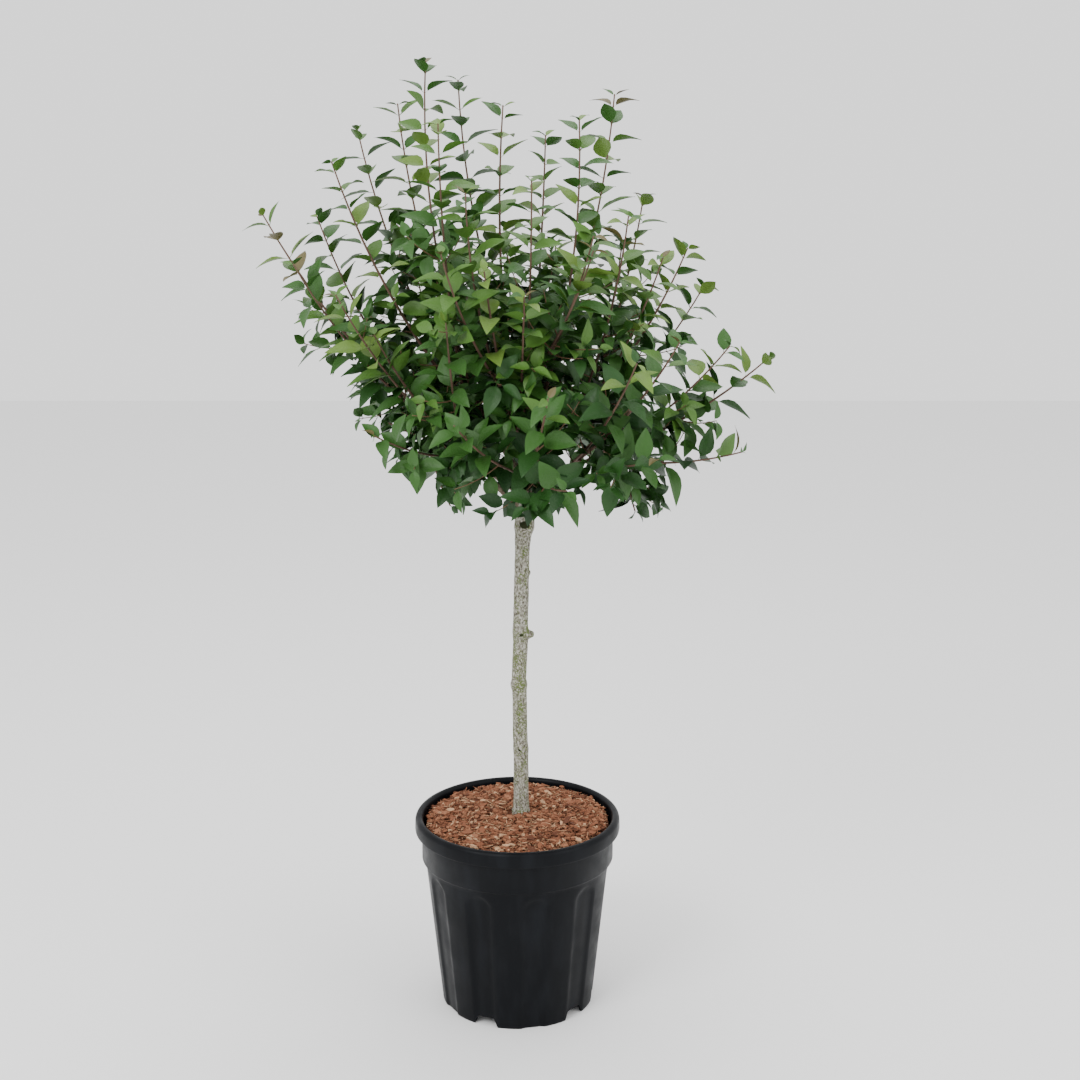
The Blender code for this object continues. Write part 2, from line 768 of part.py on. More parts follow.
def trunk_spans():
    """The upper trunk as straight limbs, for the clearance of leaves and twigs."""
    ends = [(trunk_at(z)[0], r) for z, _, r in TRUNK_STATIONS[-8:]]
    return [(a, b, max(r0, r1)) for (a, r0), (b, r1) in zip(ends, ends[1:])]


def make_crown(parts, cutters):
    limbs = trunk_spans()
    paths = {name: bough_path(name) for name in MASSES if name != "top"}
    radii = [blend(BOUGH_RADII, k / BOUGH_STEPS) for k in range(BOUGH_STEPS + 1)]
    make_boughs(paths, radii, parts, cutters)
    for path in paths.values():
        limbs += list(zip(path, path[1:], radii))
    paths["top"] = [trunk_at(z)[0] for z, _, _ in TRUNK_STATIONS[-2:]]
    groups = {name: [] for name in MASSES}
    for tip in [Vector(tip) for tip in SHOOT_TIPS] + fill_tips():
        groups[nearest_mass(tip)].append(tip)
    triangle = three_sides(cutters)
    leaf = leaf_shape()
    for name, tips in groups.items():
        make_mass(name, tips, paths[name], limbs, triangle, leaf, parts)


def main():
    clear_scene()
    parts = new_collection("lilac")
    cutters = new_collection("cutters")
    make_trunk(parts)
    make_crown(parts, cutters)
    make_soil(parts)
    make_pot(parts, cutters)


main()
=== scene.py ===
"""The lilac standard dressed: relief bark, fine twigs, real-size leaves, loose mulch and a moulded pot."""

import json
import math
import random

import bmesh
import bpy
from mathutils import Matrix, Vector, geometry, noise

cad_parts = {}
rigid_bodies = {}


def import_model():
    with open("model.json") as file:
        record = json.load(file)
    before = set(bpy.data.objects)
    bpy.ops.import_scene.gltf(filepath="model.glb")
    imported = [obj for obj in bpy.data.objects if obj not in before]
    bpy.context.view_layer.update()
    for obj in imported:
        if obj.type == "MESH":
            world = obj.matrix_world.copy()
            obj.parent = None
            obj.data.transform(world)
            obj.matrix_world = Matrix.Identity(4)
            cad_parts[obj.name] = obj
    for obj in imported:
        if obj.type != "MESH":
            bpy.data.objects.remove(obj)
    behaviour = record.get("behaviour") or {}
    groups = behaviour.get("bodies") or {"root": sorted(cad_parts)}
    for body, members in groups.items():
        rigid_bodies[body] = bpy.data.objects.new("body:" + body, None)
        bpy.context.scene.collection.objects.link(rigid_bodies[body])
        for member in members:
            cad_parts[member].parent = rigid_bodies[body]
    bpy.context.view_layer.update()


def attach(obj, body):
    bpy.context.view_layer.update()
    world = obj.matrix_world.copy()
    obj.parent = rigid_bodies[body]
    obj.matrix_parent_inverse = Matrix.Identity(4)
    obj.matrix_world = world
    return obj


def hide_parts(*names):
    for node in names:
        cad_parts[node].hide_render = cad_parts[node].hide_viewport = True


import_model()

UP = Vector((0, 0, 1))
SEED = 41

# Pot
POT_HEIGHT = 0.323
POT_SIDES = 240
SIDE_ROWS = 60
RIM_RADIUS = 0.1675
RIM_DROP = 0.0245
RIM_CURVE = 0.008
RIM_WALL = 0.0025
COLLAR_RADIUS = 0.157
COLLAR_BOTTOM = 0.250
BODY_TOP_RADIUS = 0.1515
FOOT_RADIUS = 0.1255
BODY_WALL = 0.0045
FLOOR_HEIGHT = 0.016
FLUTES = 10
FLUTE_START = math.radians(-78)
FLUTE_HALF_ANGLE = math.radians(9)
FLUTE_DEPTH = 0.0034
FLUTE_TOP = 0.241
FLUTE_ARCH = 0.016
FLUTE_FADE = 0.010
NOTCHES = 5
NOTCH_START = math.radians(-114)
NOTCH_WIDTH = 0.045
NOTCH_HEIGHT = 0.015
NOTCH_TAPER = 0.62

# Mulch
SOIL_EDGE_DEPTH = 0.011
SOIL_DOME = 0.014
GROUND = POT_HEIGHT - SOIL_EDGE_DEPTH + SOIL_DOME
MULCH_RADIUS = COLLAR_RADIUS - RIM_WALL - 0.002
MULCH_RINGS = 36
MULCH_SIDES = 120
# How far the fine stuff lies below the chips, and at the wall.
BED_DROP = 0.004
WALL_DROP = 0.020
CHIPS = 2600
CHIP_LENGTHS = (0.004, 0.018, 0.005)
CHIP_WIDTHS = (0.3, 0.75)
CHIP_THICKNESS = (0.0012, 0.0030)
FIBRES = 5600
FIBRE_LENGTHS = (0.006, 0.018)
FIBRE_WIDTHS = (0.0006, 0.0015)
# Each chip or fibre draws its colour from one of these rows of indices.
CHIP_KINDS = (0, 0, 0, 1, 2, 2, 3)
FIBRE_KINDS = (0, 0, 1, 2, 2, 3)
MULCH_COLOURS = {
    "bark_red": (0.205, 0.080, 0.042),
    "bark_dark": (0.100, 0.038, 0.021),
    "bark_brown": (0.270, 0.118, 0.064),
    "bark_tan": (0.440, 0.270, 0.160),
}

# Trunk: height, sideways place and radius at each station.
TRUNK_STATIONS = (
    (GROUND - 0.010, 0.006, 0.0156),
    (GROUND, 0.006, 0.0150),
    (0.336, 0.006, 0.0132),
    (0.352, 0.006, 0.0121),
    (0.420, 0.006, 0.0119),
    (0.435, 0.006, 0.0126),
    (0.450, 0.005, 0.0117),
    (0.533, 0.004, 0.0115),
    (0.545, 0.003, 0.0136),
    (0.557, 0.003, 0.0117),
    (0.616, 0.006, 0.0120),
    (0.632, 0.006, 0.0132),
    (0.648, 0.006, 0.0119),
    (0.770, 0.009, 0.0116),
    (0.790, 0.010, 0.0128),
    (0.806, 0.012, 0.0160),
    (0.822, 0.013, 0.0152),
    (0.838, 0.014, 0.0118),
    (0.870, 0.013, 0.0092),
    (0.902, 0.012, 0.0062),
)
TRUNK_RINGS = 420
TRUNK_SIDES = 56
TRUNK_MEAN_RADIUS = 0.012
PLATE_RELIEF = 0.0006
GRAIN_RELIEF = 0.0003
# Knots: height, bearing in degrees, how far they stand out, and how wide they are.
TRUNK_KNOTS = (
    (0.629, 0, 0.0085, 0.0062),
    (0.631, -88, 0.0034, 0.0058),
    (0.731, 5, 0.0022, 0.0040),
    (0.436, -110, 0.0020, 0.0048),
    (0.810, -92, 0.0036, 0.0070),
)
# Hollows in the middle of some knots, dented a little and painted near-black as shade: height, bearing in
# degrees, radius.
HOLLOWS = ((0.812, -90, 0.0074), (0.631, -88, 0.0032), (0.436, -104, 0.0026))
HOLLOW_DEPTH = 0.0022
# Lichen covers more of the trunk inside the zone than outside: the lower the limit, the more.
LICHEN_ZONE = (0.45, 0.64)
LICHEN_LIMITS = (0.10, 0.30)

# Crown
HEAD = Vector((0.012, 0, 0.845))
MASSES = {
    "left": (178, 44, 0.836),
    "right": (-2, 36, 0.828),
    "front": (-88, 34, 0.832),
    "back": (92, 38, 0.838),
    "front_left": (-136, 40, 0.858),
    "front_right": (-42, 38, 0.856),
    "back_left": (136, 42, 0.852),
    "back_right": (46, 42, 0.862),
    "top_left": (176, 68, 0.882),
    "top_right": (2, 64, 0.878),
    "top_front": (-92, 66, 0.884),
    "top_back": (88, 66, 0.880),
    "top": (0, 90, 0.902),
}
BOUGH_REACH = 0.100
BOUGH_RADII = (0.0058, 0.0036)
BOUGH_STEPS = 16
BOUGH_FLATTER = 14
BOUGH_SIDES = 16
SHOOT_TIPS = (
    (-0.382, 0.00, 1.291),
    (-0.325, -0.10, 1.226),
    (-0.315, 0.12, 1.281),
    (-0.255, -0.18, 1.190),
    (-0.274, -0.02, 1.371),
    (-0.250, 0.14, 1.414),
    (-0.230, 0.06, 1.020),
    (-0.198, 0.00, 0.972),
    (-0.183, 0.10, 1.454),
    (-0.134, 0.02, 1.516),
    (-0.110, -0.10, 1.427),
    (-0.105, 0.02, 0.835),
    (-0.102, -0.22, 1.251),
    (-0.092, 0.16, 1.490),
    (-0.042, -0.20, 1.226),
    (-0.019, 0.04, 1.452),
    (0.025, -0.14, 1.348),
    (0.046, 0.22, 1.404),
    (0.095, -0.03, 1.432),
    (0.113, -0.18, 1.273),
    (0.152, 0.10, 1.468),
    (0.185, -0.03, 0.838),
    (0.201, 0.14, 1.310),
    (0.218, 0.00, 0.852),
    (0.219, -0.08, 1.235),
    (0.238, -0.18, 1.122),
    (0.266, 0.06, 1.236),
    (0.303, 0.18, 1.164),
    (0.324, -0.05, 1.099),
    (0.344, -0.08, 0.942),
    (0.391, 0.00, 1.075),
)
FILL_SHOOTS = 24
FILL_HALF_ANGLE = 58
FILL_RISE = (12, 74)
LOW_REACH = 0.29
TOP_REACH = 0.54
FILL_REACHES = (0.86, 1.0)
GOLDEN = 0.618034
SHOOT_BOW = 0.055
SHOOT_STEPS = 12
SHOOT_RADII = (0.0024, 0.0011)
STEM_RADII = (0.0034, 0.0011)
STEM_FOOT = 0.004
SHOOT_SIDES = 8
TWIG_SIDES = 5
FORK_SPACING = 0.022
TWIG_RADII = (0.0012, 0.0006)
TWIG_STEPS = 4
TWIG_SPACING = 0.037
TWIG_ZONE = (0.03, 0.56)
TWIG_LENGTH = (0.045, 0.100)
TWIG_ANGLES = (78, 32)
UNDERSIDE = 0.812
UNDERSIDE_SLOPE = 0.2
# The underside also rises outward: where that starts on the left and on the right, and how steeply.
UNDERSIDE_LEFT = (-0.10, 1.0)
UNDERSIDE_RIGHT = (0.22, 0.9)
LIMB_CLEAR = 0.001

# Leaves
LEAF_WIDTH = 0.58
STALK_LENGTH = 0.15
LEAF_STATIONS = (-STALK_LENGTH, 0.0, 0.09, 0.24, 0.42, 0.6, 0.78, 0.92, 1.0)
LEAF_COLUMNS = (-1, -0.5, 0, 0.5, 1)
LEAF_ARCHES = (0.14, 0.28, 0.46)
LEAF_FOLD = 0.16
STALK_HALF_WIDTH = 0.014
SHOOT_LEAF = 0.051
TIP_LEAF = 0.034
TWIG_LEAF = 0.043
PAIR_SPACING = 0.027
TWIG_PAIR_SPACING = 0.024
PAIR_START = 0.26
LEAF_ANGLE = 58
LEAF_SPREAD = 14
LEAF_TILT = 0.38
LEAF_SIZES = (0.84, 1.14)
# How much a leaf's upper face turns up, along its twig, and out of the crown.
FACING_UP = 0.7
FACING_ALONG = 0.5
FACING_OUT = 0.5
# How far from HEAD the crown's colours reach their lightest.
CROWN_REACH = 0.45
COLOUR_SPREAD = 0.18
# Shares of that reach where the dark inside, the green body and the shoot tips end or start.
DARK_REACH = 0.42
GREEN_REACH = 0.72
TIP_REACH = 0.75
TIP_START = 0.88
TRIES = 3
TRY_TURN = 0.9
# Leaf colours from the dark inside of the crown, partly older leaves and partly painted shade, to the shoot
# tips.
LEAF_COLOURS = {
    "leaf_deep_old_and_shade": (0.008, 0.036, 0.006),
    "leaf_dark_old_and_shade": (0.014, 0.057, 0.008),
    "leaf_green": (0.027, 0.088, 0.012),
    "leaf_fresh": (0.055, 0.132, 0.018),
    "leaf_lime": (0.100, 0.180, 0.028),
    "leaf_bronze": (0.098, 0.082, 0.030),
}

# Camera
CAMERA_PLACE = (0.037, -2.76, 1.47)
CAMERA_PITCH = 13.95
CAMERA_LENS = 60


def blend(ends, t):
    return ends[0] + (ends[1] - ends[0]) * t


def direction(bearing, rise):
    level = math.cos(math.radians(rise))
    side = math.radians(bearing)
    return Vector((math.cos(side) * level, math.sin(side) * level, math.sin(math.radians(rise))))


def plain_material(name, colour, roughness, specular=0.5):
    material = bpy.data.materials.new(name)
    material.use_nodes = True
    shader = material.node_tree.nodes["Principled BSDF"]
    shader.inputs["Base Color"].default_value = (*colour, 1)
    shader.inputs["Roughness"].default_value = roughness
    shader.inputs["Specular IOR Level"].default_value = specular
    return material


def noise_node(tree, scale, detail, stretch=(1, 1, 1)):
    """A noise in the object's own metres, which a stretch can draw out along an axis."""
    place = tree.nodes.new("ShaderNodeTexCoord")
    mapping = tree.nodes.new("ShaderNodeMapping")
    mapping.inputs["Scale"].default_value = stretch
    texture = tree.nodes.new("ShaderNodeTexNoise")
    texture.inputs["Scale"].default_value = scale
    texture.inputs["Detail"].default_value = detail
    tree.links.new(place.outputs["Object"], mapping.inputs["Vector"])
    tree.links.new(mapping.outputs["Vector"], texture.inputs["Vector"])
    return texture


def add_relief(material, scale, distance, strength=0.6, detail=5, stretch=(1, 1, 1)):
    tree = material.node_tree
    bump = tree.nodes.new("ShaderNodeBump")
    bump.inputs["Strength"].default_value = strength
    bump.inputs["Distance"].default_value = distance
    texture = noise_node(tree, scale, detail, stretch)
    tree.links.new(texture.outputs["Fac"], bump.inputs["Height"])
    tree.links.new(bump.outputs["Normal"], tree.nodes["Principled BSDF"].inputs["Normal"])
    return material


def add_mottle(material, socket, scale, stops, detail=6, stretch=(1, 1, 1)):
    """Drives a socket of the shader by noise through a ramp of (place, colour) stops."""
    tree = material.node_tree
    ramp = tree.nodes.new("ShaderNodeValToRGB")
    while len(ramp.color_ramp.elements) < len(stops):
        ramp.color_ramp.elements.new(0.5)
    for element, (spot, colour) in zip(ramp.color_ramp.elements, stops):
        element.position = spot
        element.color = (*colour, 1)
    texture = noise_node(tree, scale, detail, stretch)
    tree.links.new(texture.outputs["Fac"], ramp.inputs["Fac"])
    tree.links.new(ramp.outputs["Color"], tree.nodes["Principled BSDF"].inputs[socket])
    return material


def pot_plastic():
    material = plain_material("pot_plastic", (0.0035, 0.0040, 0.0052), 0.34, 0.09)
    add_mottle(material, "Roughness", 26, [(0.35, (0.34,) * 3), (0.7, (0.52,) * 3)])
    add_mottle(material, "Base Color", 40, [(0.45, (0.0030, 0.0035, 0.0046)), (0.8, (0.0070, 0.0080, 0.010))],
               detail=9, stretch=(1, 1, 0.25))
    return add_relief(material, 900, 0.0003, 0.25)


def trunk_bark():
    material = plain_material("trunk_bark", (0.40, 0.38, 0.33), 0.86, 0.2)
    stops = [(0.34, (0.050, 0.042, 0.030)), (0.44, (0.165, 0.155, 0.120)), (0.56, (0.290, 0.280, 0.235)),
             (0.72, (0.46, 0.45, 0.40))]
    add_mottle(material, "Base Color", 330, stops, 10, (1, 1, 0.7))
    return add_relief(material, 520, 0.0014, 0.9, stretch=(1, 1, 0.5))


def bough_bark():
    material = plain_material("bough_bark", (0.15, 0.12, 0.085), 0.85, 0.2)
    stops = [(0.35, (0.055, 0.040, 0.028)), (0.55, (0.16, 0.13, 0.09)), (0.75, (0.30, 0.27, 0.21))]
    add_mottle(material, "Base Color", 180, stops, detail=8)
    return add_relief(material, 500, 0.0010, 0.8)


def relief_material(name, colour, roughness, scale, distance, specular=0.3):
    return add_relief(plain_material(name, colour, roughness, specular), scale, distance)


def place(name, verts, faces, kinds, materials, replaced, slot):
    """One finished piece of the plant: its mesh, its materials by face, and what it stands for."""
    mesh = bpy.data.meshes.new(name)
    mesh.from_pydata(verts, [], faces)
    for material in materials:
        mesh.materials.append(material)
    if kinds:
        mesh.polygons.foreach_set("material_index", kinds)
    mesh.shade_smooth()
    mesh.update()
    item = bpy.data.objects.new(name, mesh)
    bpy.context.scene.collection.objects.link(item)
    claim(item, replaced)
    return item


def claim(item, replaced):
    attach(item, "root")
    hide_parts(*replaced)


def grid_faces(rows, sides, start=0):
    """Quads of a tube of rings, all round."""
    return [
        (start + i * sides + j, start + i * sides + (j + 1) % sides,
         start + (i + 1) * sides + (j + 1) % sides, start + (i + 1) * sides + j)
        for i in range(rows - 1) for j in range(sides)
    ]


def sweep(points, radii, sides, verts, faces, relief=None):
    """Adds a tube along points to a mesh's lists, closed at its end; relief moves each point outward."""
    chord = (points[-1] - points[0]).normalized()
    reference = Vector((0, 1, 0)) if abs(chord.y) < 0.8 else Vector((1, 0, 0))
    start = len(verts)
    for k, point in enumerate(points):
        heading = (points[min(k + 1, len(points) - 1)] - points[max(k - 1, 0)]).normalized()
        right = reference.cross(heading).normalized()
        over = heading.cross(right)
        for j in range(sides):
            turn = math.tau * j / sides
            way = right * math.cos(turn) + over * math.sin(turn)
            grown = relief(point + way * radii[k], turn) if relief else 0
            verts.append(point + way * (radii[k] + grown))
    faces += grid_faces(len(points), sides, start)
    verts.append(points[-1] + chord * radii[-1] * 0.6)
    last = start + (len(points) - 1) * sides
    faces += [(last + j, last + (j + 1) % sides, len(verts) - 1) for j in range(sides)]


def trunk_at(height):
    for (z0, x0, r0), (z1, x1, r1) in zip(TRUNK_STATIONS, TRUNK_STATIONS[1:]):
        if height <= z1:
            break
    t = min(max((height - z0) / (z1 - z0), 0), 1)
    smooth = t * t * (3 - 2 * t)
    return Vector((blend((x0, x1), t), 0, blend((z0, z1), t))), blend((r0, r1), smooth)


def around(turn, bearing):
    """The angle from a bearing in degrees to a turn, either way round."""
    return (turn - math.radians(bearing) + math.pi) % math.tau - math.pi


def bark_relief(point, turn):
    """Flaking plates drawn out upward, fine grain, and the knots."""
    plates = noise.noise(Vector((point.x * 190, point.y * 190, point.z * 55)))
    grain = noise.noise(point * 520)
    grown = PLATE_RELIEF * plates + GRAIN_RELIEF * grain
    for height, bearing, out, spread in TRUNK_KNOTS:
        off = math.hypot(point.z - height, around(turn, bearing) * TRUNK_MEAN_RADIUS) / spread
        grown += out * math.exp(-off ** 4)
    for height, bearing, radius in HOLLOWS:
        off = math.hypot(point.z - height, around(turn, bearing) * TRUNK_MEAN_RADIUS) / radius
        grown -= HOLLOW_DEPTH * math.exp(-off ** 4)
    return grown


def trunk_kind(point):
    """0 for bark, 1 for lichen, 2 for painted shade in the middle of a dented knot."""
    turn = math.atan2(point.y, point.x - trunk_at(point.z)[0].x)
    for height, bearing, radius in HOLLOWS:
        if math.hypot(point.z - height, around(turn, bearing) * TRUNK_MEAN_RADIUS) < radius * 0.8:
            return 2
    dryness = LICHEN_LIMITS[0] if LICHEN_ZONE[0] < point.z < LICHEN_ZONE[1] else LICHEN_LIMITS[1]
    patch = noise.noise(Vector((point.x * 95, point.y * 95, point.z * 45)))
    return 1 if 0.5 * patch + 0.8 * noise.noise(point * 640) > dryness else 0


def make_trunk():
    low, high = TRUNK_STATIONS[0][0], TRUNK_STATIONS[-1][0]
    stations = [trunk_at(blend((low, high), k / (TRUNK_RINGS - 1))) for k in range(TRUNK_RINGS)]
    verts, faces = [], []
    sweep([spot for spot, _ in stations], [r for _, r in stations], TRUNK_SIDES, verts, faces, bark_relief)
    kinds = [trunk_kind(verts[face[0]]) for face in faces]
    lichen = relief_material("lichen", (0.105, 0.130, 0.050), 0.95, 700, 0.0012, 0.1)
    # The near-black in the middle of these knots is painted shade, standing in for the shadow inside the
    # dents.
    hollow_shade = relief_material("hollow_painted_shade", (0.022, 0.026, 0.011), 0.95, 600, 0.0015, 0.1)
    place("trunk_bark_relief", verts, faces, kinds, [trunk_bark(), lichen, hollow_shade], ["trunk"], "trunk_bark")


def bough_path(name, steps):
    bearing, rise, height = MASSES[name]
    root = trunk_at(height)[0]
    tip = HEAD + direction(bearing, rise) * BOUGH_REACH
    bend = root + direction(bearing, rise - BOUGH_FLATTER) * (tip - root).length / 2
    shares = [k / steps for k in range(steps + 1)]
    return [root * (1 - t) ** 2 + bend * 2 * t * (1 - t) + tip * t * t for t in shares]


def bough_relief(point, _):
    return 0.0005 * noise.noise(point * 260) + 0.0003 * noise.noise(point * 700)


def make_boughs(paths):
    verts, faces = [], []
    for path in paths.values():
        sweep(path, taper(BOUGH_RADII, path), BOUGH_SIDES, verts, faces, bough_relief)
    nodes = ["bough_" + name for name in paths]
    place("boughs", verts, faces, None, [bough_bark()], nodes, "bough_bark")


def taper(radii, path):
    return [blend(radii, k / (len(path) - 1)) for k in range(len(path))]


def axis_of(name):
    return direction(*MASSES[name][:2])


def nearest_mass(point):
    return max(MASSES, key=lambda name: (point - HEAD).dot(axis_of(name)))


def clear_of_limbs(point, limbs, margin):
    for start, end, radius in limbs:
        near, t = geometry.intersect_point_line(point, start, end)
        near = start if t < 0 else end if t > 1 else near
        if (point - near).length < radius + margin:
            return False
    return True


def fill_tips():
    chance = random.Random(SEED)
    tips = []
    for k in range(FILL_SHOOTS):
        across = 2 * ((k * GOLDEN) % 1) - 1
        bearing = (-90 if k % 2 else 90) + across * FILL_HALF_ANGLE
        rise = blend(FILL_RISE, (k + 0.5) / FILL_SHOOTS)
        reach = blend((LOW_REACH, TOP_REACH), math.sin(math.radians(rise)) ** 2)
        tips.append(HEAD + direction(bearing, rise) * reach * chance.uniform(*FILL_REACHES))
    return tips


def bowed(start, tip, steps):
    chord = tip - start
    along = chord.normalized()
    lift = (UP - along * along.z).normalized()
    spots = [k / steps for k in range(steps + 1)]
    return [start + chord * t - lift * (SHOOT_BOW * chord.length * 4 * t * (1 - t)) for t in spots]


def point_on(path, t):
    span = min(int(t * (len(path) - 1)), len(path) - 2)
    part = t * (len(path) - 1) - span
    step = path[span + 1] - path[span]
    return path[span] + step * part, step.normalized()


def side_way(heading, turn, angle):
    side = heading.orthogonal().normalized()
    side.rotate(Matrix.Rotation(turn, 3, heading))
    return heading * math.cos(math.radians(angle)) + side * math.sin(math.radians(angle))


def leaf_frame(root, along, facing, size):
    side = facing.cross(along).normalized()
    turn = Matrix((along, side, along.cross(side))).transposed().to_4x4()
    return Matrix.Translation(root) @ turn @ Matrix.Scale(size, 4)


def leaf_half_width(t):
    if t <= 0:
        return STALK_HALF_WIDTH
    if t >= 1:
        return STALK_HALF_WIDTH / 3
    return max(STALK_HALF_WIDTH / 2, LEAF_WIDTH / 2 * math.sin(math.pi * t ** 0.75) ** 0.9)


def leaf_points(arch):
    """A pointed oval blade on its stalk, folded along the middle and arched back to its tip."""
    points = []
    for t in LEAF_STATIONS:
        for column in LEAF_COLUMNS:
            y = leaf_half_width(t) * column
            wave = 0.012 * math.sin(9 * t + 2 * column) * abs(column)
            points.append(Vector((t, y, LEAF_FOLD * abs(y) * 2 - arch * max(t, 0) ** 2 + wave)))
    return points


def underside(point):
    """The height below which no leaf hangs at a point."""
    left = max(0, UNDERSIDE_LEFT[0] - point.x) * UNDERSIDE_LEFT[1]
    right = max(0, point.x - UNDERSIDE_RIGHT[0]) * UNDERSIDE_RIGHT[1]
    return UNDERSIDE + UNDERSIDE_SLOPE * abs(point.y) + left + right


class Growth:
    """What one mass is grown into: old and young twigs, and leaves with their shape and colour."""

    def __init__(self, name, limbs):
        self.limbs = limbs
        self.chance = random.Random(SEED + list(MASSES).index(name))
        self.shoots = []
        self.twigs = []
        self.leaves = []

    def fits(self, points):
        return all(
            point.z > underside(point)
            and clear_of_limbs(point, self.limbs, LIMB_CLEAR)
            for point in points
        )

    def add_leaf(self, spot, heading, turn, size, colour):
        size *= self.chance.uniform(*LEAF_SIZES)
        for attempt in range(TRIES):
            lean = LEAF_ANGLE + self.chance.uniform(-LEAF_SPREAD, LEAF_SPREAD)
            along = side_way(heading, turn + attempt * TRY_TURN, lean)
            out = (spot - HEAD).normalized()
            tilt = Vector([self.chance.gauss(0, LEAF_TILT) for _ in range(3)])
            facing = UP * FACING_UP + heading * FACING_ALONG + out * FACING_OUT + tilt
            matrix = leaf_frame(spot + along * size * STALK_LENGTH, along, facing, size)
            if self.fits([matrix @ Vector((t, 0, 0)) for t in (0.4, 1.0)]):
                self.leaves.append((matrix, self.chance.randrange(len(LEAF_ARCHES)), colour))
                return

    def colour_at(self, spot, t):
        """Dark inside the crown, partly older leaves and partly painted shade; fresh on the shoots, lime or
        bronze at their tips.
        """
        out = (spot - HEAD).length / CROWN_REACH + self.chance.uniform(-COLOUR_SPREAD, COLOUR_SPREAD)
        if t > TIP_START and out > TIP_REACH:
            return self.chance.choice((2, 3, 4, 5))
        if out < DARK_REACH:
            return self.chance.choice((0, 1, 1))
        if out < GREEN_REACH:
            return self.chance.choice((1, 2, 2))
        return self.chance.choice((2, 2, 3, 3)) if t < 0.6 else self.chance.choice((2, 3, 3, 4))

    def dress_twig(self, path, size, tip_share):
        """Opposite pairs, each turned from the last, and a small leaf at the end."""
        length = (path[-1] - path[0]).length
        turn = self.chance.uniform(0, math.pi)
        pairs = max(2, round(length / TWIG_PAIR_SPACING))
        colour = self.colour_at(path[-1], tip_share)
        for k in range(pairs):
            t = (k + 0.75) / pairs
            share = size * blend((1, 0.62), max(0, t * 2 - 1))
            for side in (0, math.pi):
                self.add_leaf(*point_on(path, min(t, 0.98)), turn + k * math.pi / 2 + side, share, colour)
        self.add_leaf(*point_on(path, 0.99), turn, size * 0.6, colour)

    def add_twig(self, spot, heading, angle, t):
        for _ in range(TRIES):
            way = side_way(heading, self.chance.uniform(0, math.tau), angle)
            tip = spot + way * self.chance.uniform(*TWIG_LENGTH)
            path = bowed(spot, tip, TWIG_STEPS)
            if self.fits([tip, (spot + tip) / 2]):
                self.twigs.append((path, TWIG_RADII))
                self.dress_twig(path, TWIG_LEAF, t)
                return

    def dress_shoot(self, path):
        length = (path[-1] - path[0]).length
        turn = self.chance.uniform(0, math.pi)
        pairs = round((1 - PAIR_START) * length / PAIR_SPACING)
        for k in range(pairs):
            t = blend((PAIR_START, 0.985), (k + 0.6) / pairs)
            size = blend((SHOOT_LEAF, TIP_LEAF), max(0.0, t * 3.4 - 2.4))
            spot, heading = point_on(path, t)
            colour = self.colour_at(spot, t)
            for side in (0, math.pi):
                self.add_leaf(spot, heading, turn + k * math.pi / 2 + side, size, colour)
        for side in (0, math.pi):
            self.add_leaf(*point_on(path, 0.995), turn + side, TIP_LEAF * 0.6, self.colour_at(path[-1], 1))
        twigs = max(1, round((TWIG_ZONE[1] - TWIG_ZONE[0]) * length / TWIG_SPACING))
        for k in range(twigs):
            t = blend(TWIG_ZONE, (k + self.chance.random()) / twigs)
            self.add_twig(*point_on(path, t), blend(TWIG_ANGLES, t), t)


def make_mass(name, tips, path, limbs, barks, leaf_materials, shapes):
    growth = Growth(name, limbs)
    heading = (path[-1] - path[-2]).normalized()
    foot = path[-1]
    tips.sort(key=lambda tip: -(tip - HEAD).normalized().dot(axis_of(name)))
    main = [foot] + bowed(foot + heading * STEM_FOOT, tips[0], SHOOT_STEPS)
    growth.shoots.append((main, STEM_RADII))
    for k, tip in enumerate(tips[1:]):
        fork = point_on(main[1:], FORK_SPACING * (k + 0.5) / (tips[0] - foot).length)[0]
        growth.shoots.append((bowed(fork, tip, SHOOT_STEPS), SHOOT_RADII))
    for shoot, _ in growth.shoots:
        growth.dress_shoot(shoot)
    verts, faces = [], []
    for shoot, radii in growth.shoots:
        sweep(shoot, taper(radii, shoot), SHOOT_SIDES, verts, faces)
    older = len(faces)
    for twig, radii in growth.twigs:
        sweep(twig, taper(radii, twig), TWIG_SIDES, verts, faces)
    kinds = [0] * older + [1] * (len(faces) - older)
    place("twigs_" + name, verts, faces, kinds, barks, ["foliage_" + name], "foliage")
    make_leaves(name, growth.leaves, leaf_materials, shapes)
    return len(growth.leaves)


def make_leaves(name, leaves, materials, shapes):
    columns = len(LEAF_COLUMNS)
    quads = [
        (i * columns + j, i * columns + j + 1, (i + 1) * columns + j + 1, (i + 1) * columns + j)
        for i in range(len(LEAF_STATIONS) - 1) for j in range(columns - 1)
    ]
    verts, faces, kinds = [], [], []
    for matrix, shape, colour in leaves:
        start = len(verts)
        verts += [matrix @ point for point in shapes[shape]]
        faces += [tuple(start + corner for corner in quad) for quad in quads]
        kinds += [colour] * len(quads)
    place("leaves_" + name, verts, faces, kinds, materials, ["foliage_" + name], "foliage")


